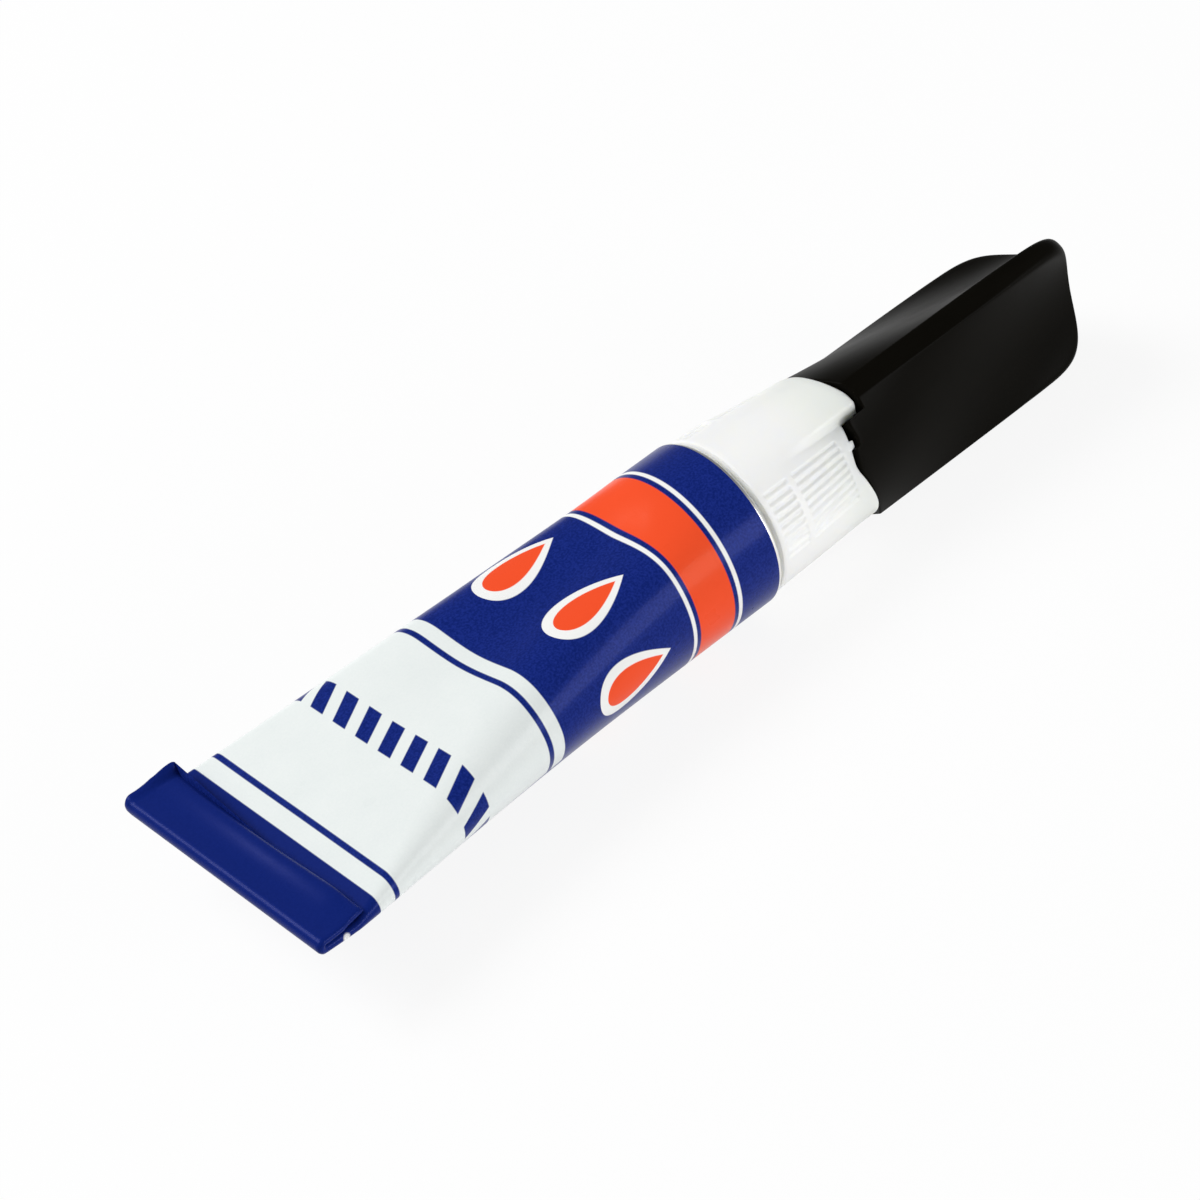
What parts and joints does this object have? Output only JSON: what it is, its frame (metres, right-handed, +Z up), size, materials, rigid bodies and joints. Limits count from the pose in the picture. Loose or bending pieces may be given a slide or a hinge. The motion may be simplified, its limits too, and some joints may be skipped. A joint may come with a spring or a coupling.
{
  "type": "instant adhesive tube",
  "caption": "Crimped metal squeeze tube of instant adhesive with a folded tail, a ribbed screw-on nozzle and a finned twist-off cap that carries an anti-clog needle.",
  "frame": {"origin": "on the table under the middle of the lying tube's length", "axes": "+X along the tube from the tail to the cap, +Z up, +Y across the flat tail"},
  "size_m": [0.0808, 0.0212, 0.0135],
  "materials": {
    "lacquered_tube": "gloss lacquer, deep blue with a pearl white band",
    "seal_latex": "matt sealing latex",
    "liquid_adhesive": "clear thin liquid",
    "white_polyethylene": "translucent white moulding",
    "needle_steel": "bright drawn wire",
    "black_polypropylene": "satin black moulding"
  },
  "bodies": {
    "tube": {"tube_body": "lacquered_tube", "fold_seal": "seal_latex", "adhesive": "liquid_adhesive"},
    "nozzle": {"nozzle": "white_polyethylene"},
    "needle": {"cap_needle": "needle_steel"},
    "cap": {"cap": "black_polypropylene"}
  },
  "joints": [
    {"name": "nozzle_lift", "type": "slide", "parent": "tube", "child": "nozzle", "axis": [1, 0, 0], "range_m": [0, 0.01]},
    {"name": "cap_lift", "type": "slide", "parent": "nozzle", "child": "needle", "axis": [1, 0, 0], "range_m": [0, 0.0252]},
    {"name": "cap_turn", "type": "hinge", "parent": "needle", "child": "cap", "pos_m": [0.0056, 0, 0.00675], "axis": [1, 0, 0], "range_deg": [0, 720]}
  ],
  "couplings": [
    {"joint": "cap_turn", "follows": "cap_lift", "rad_per_m": 498.66}
  ]
}
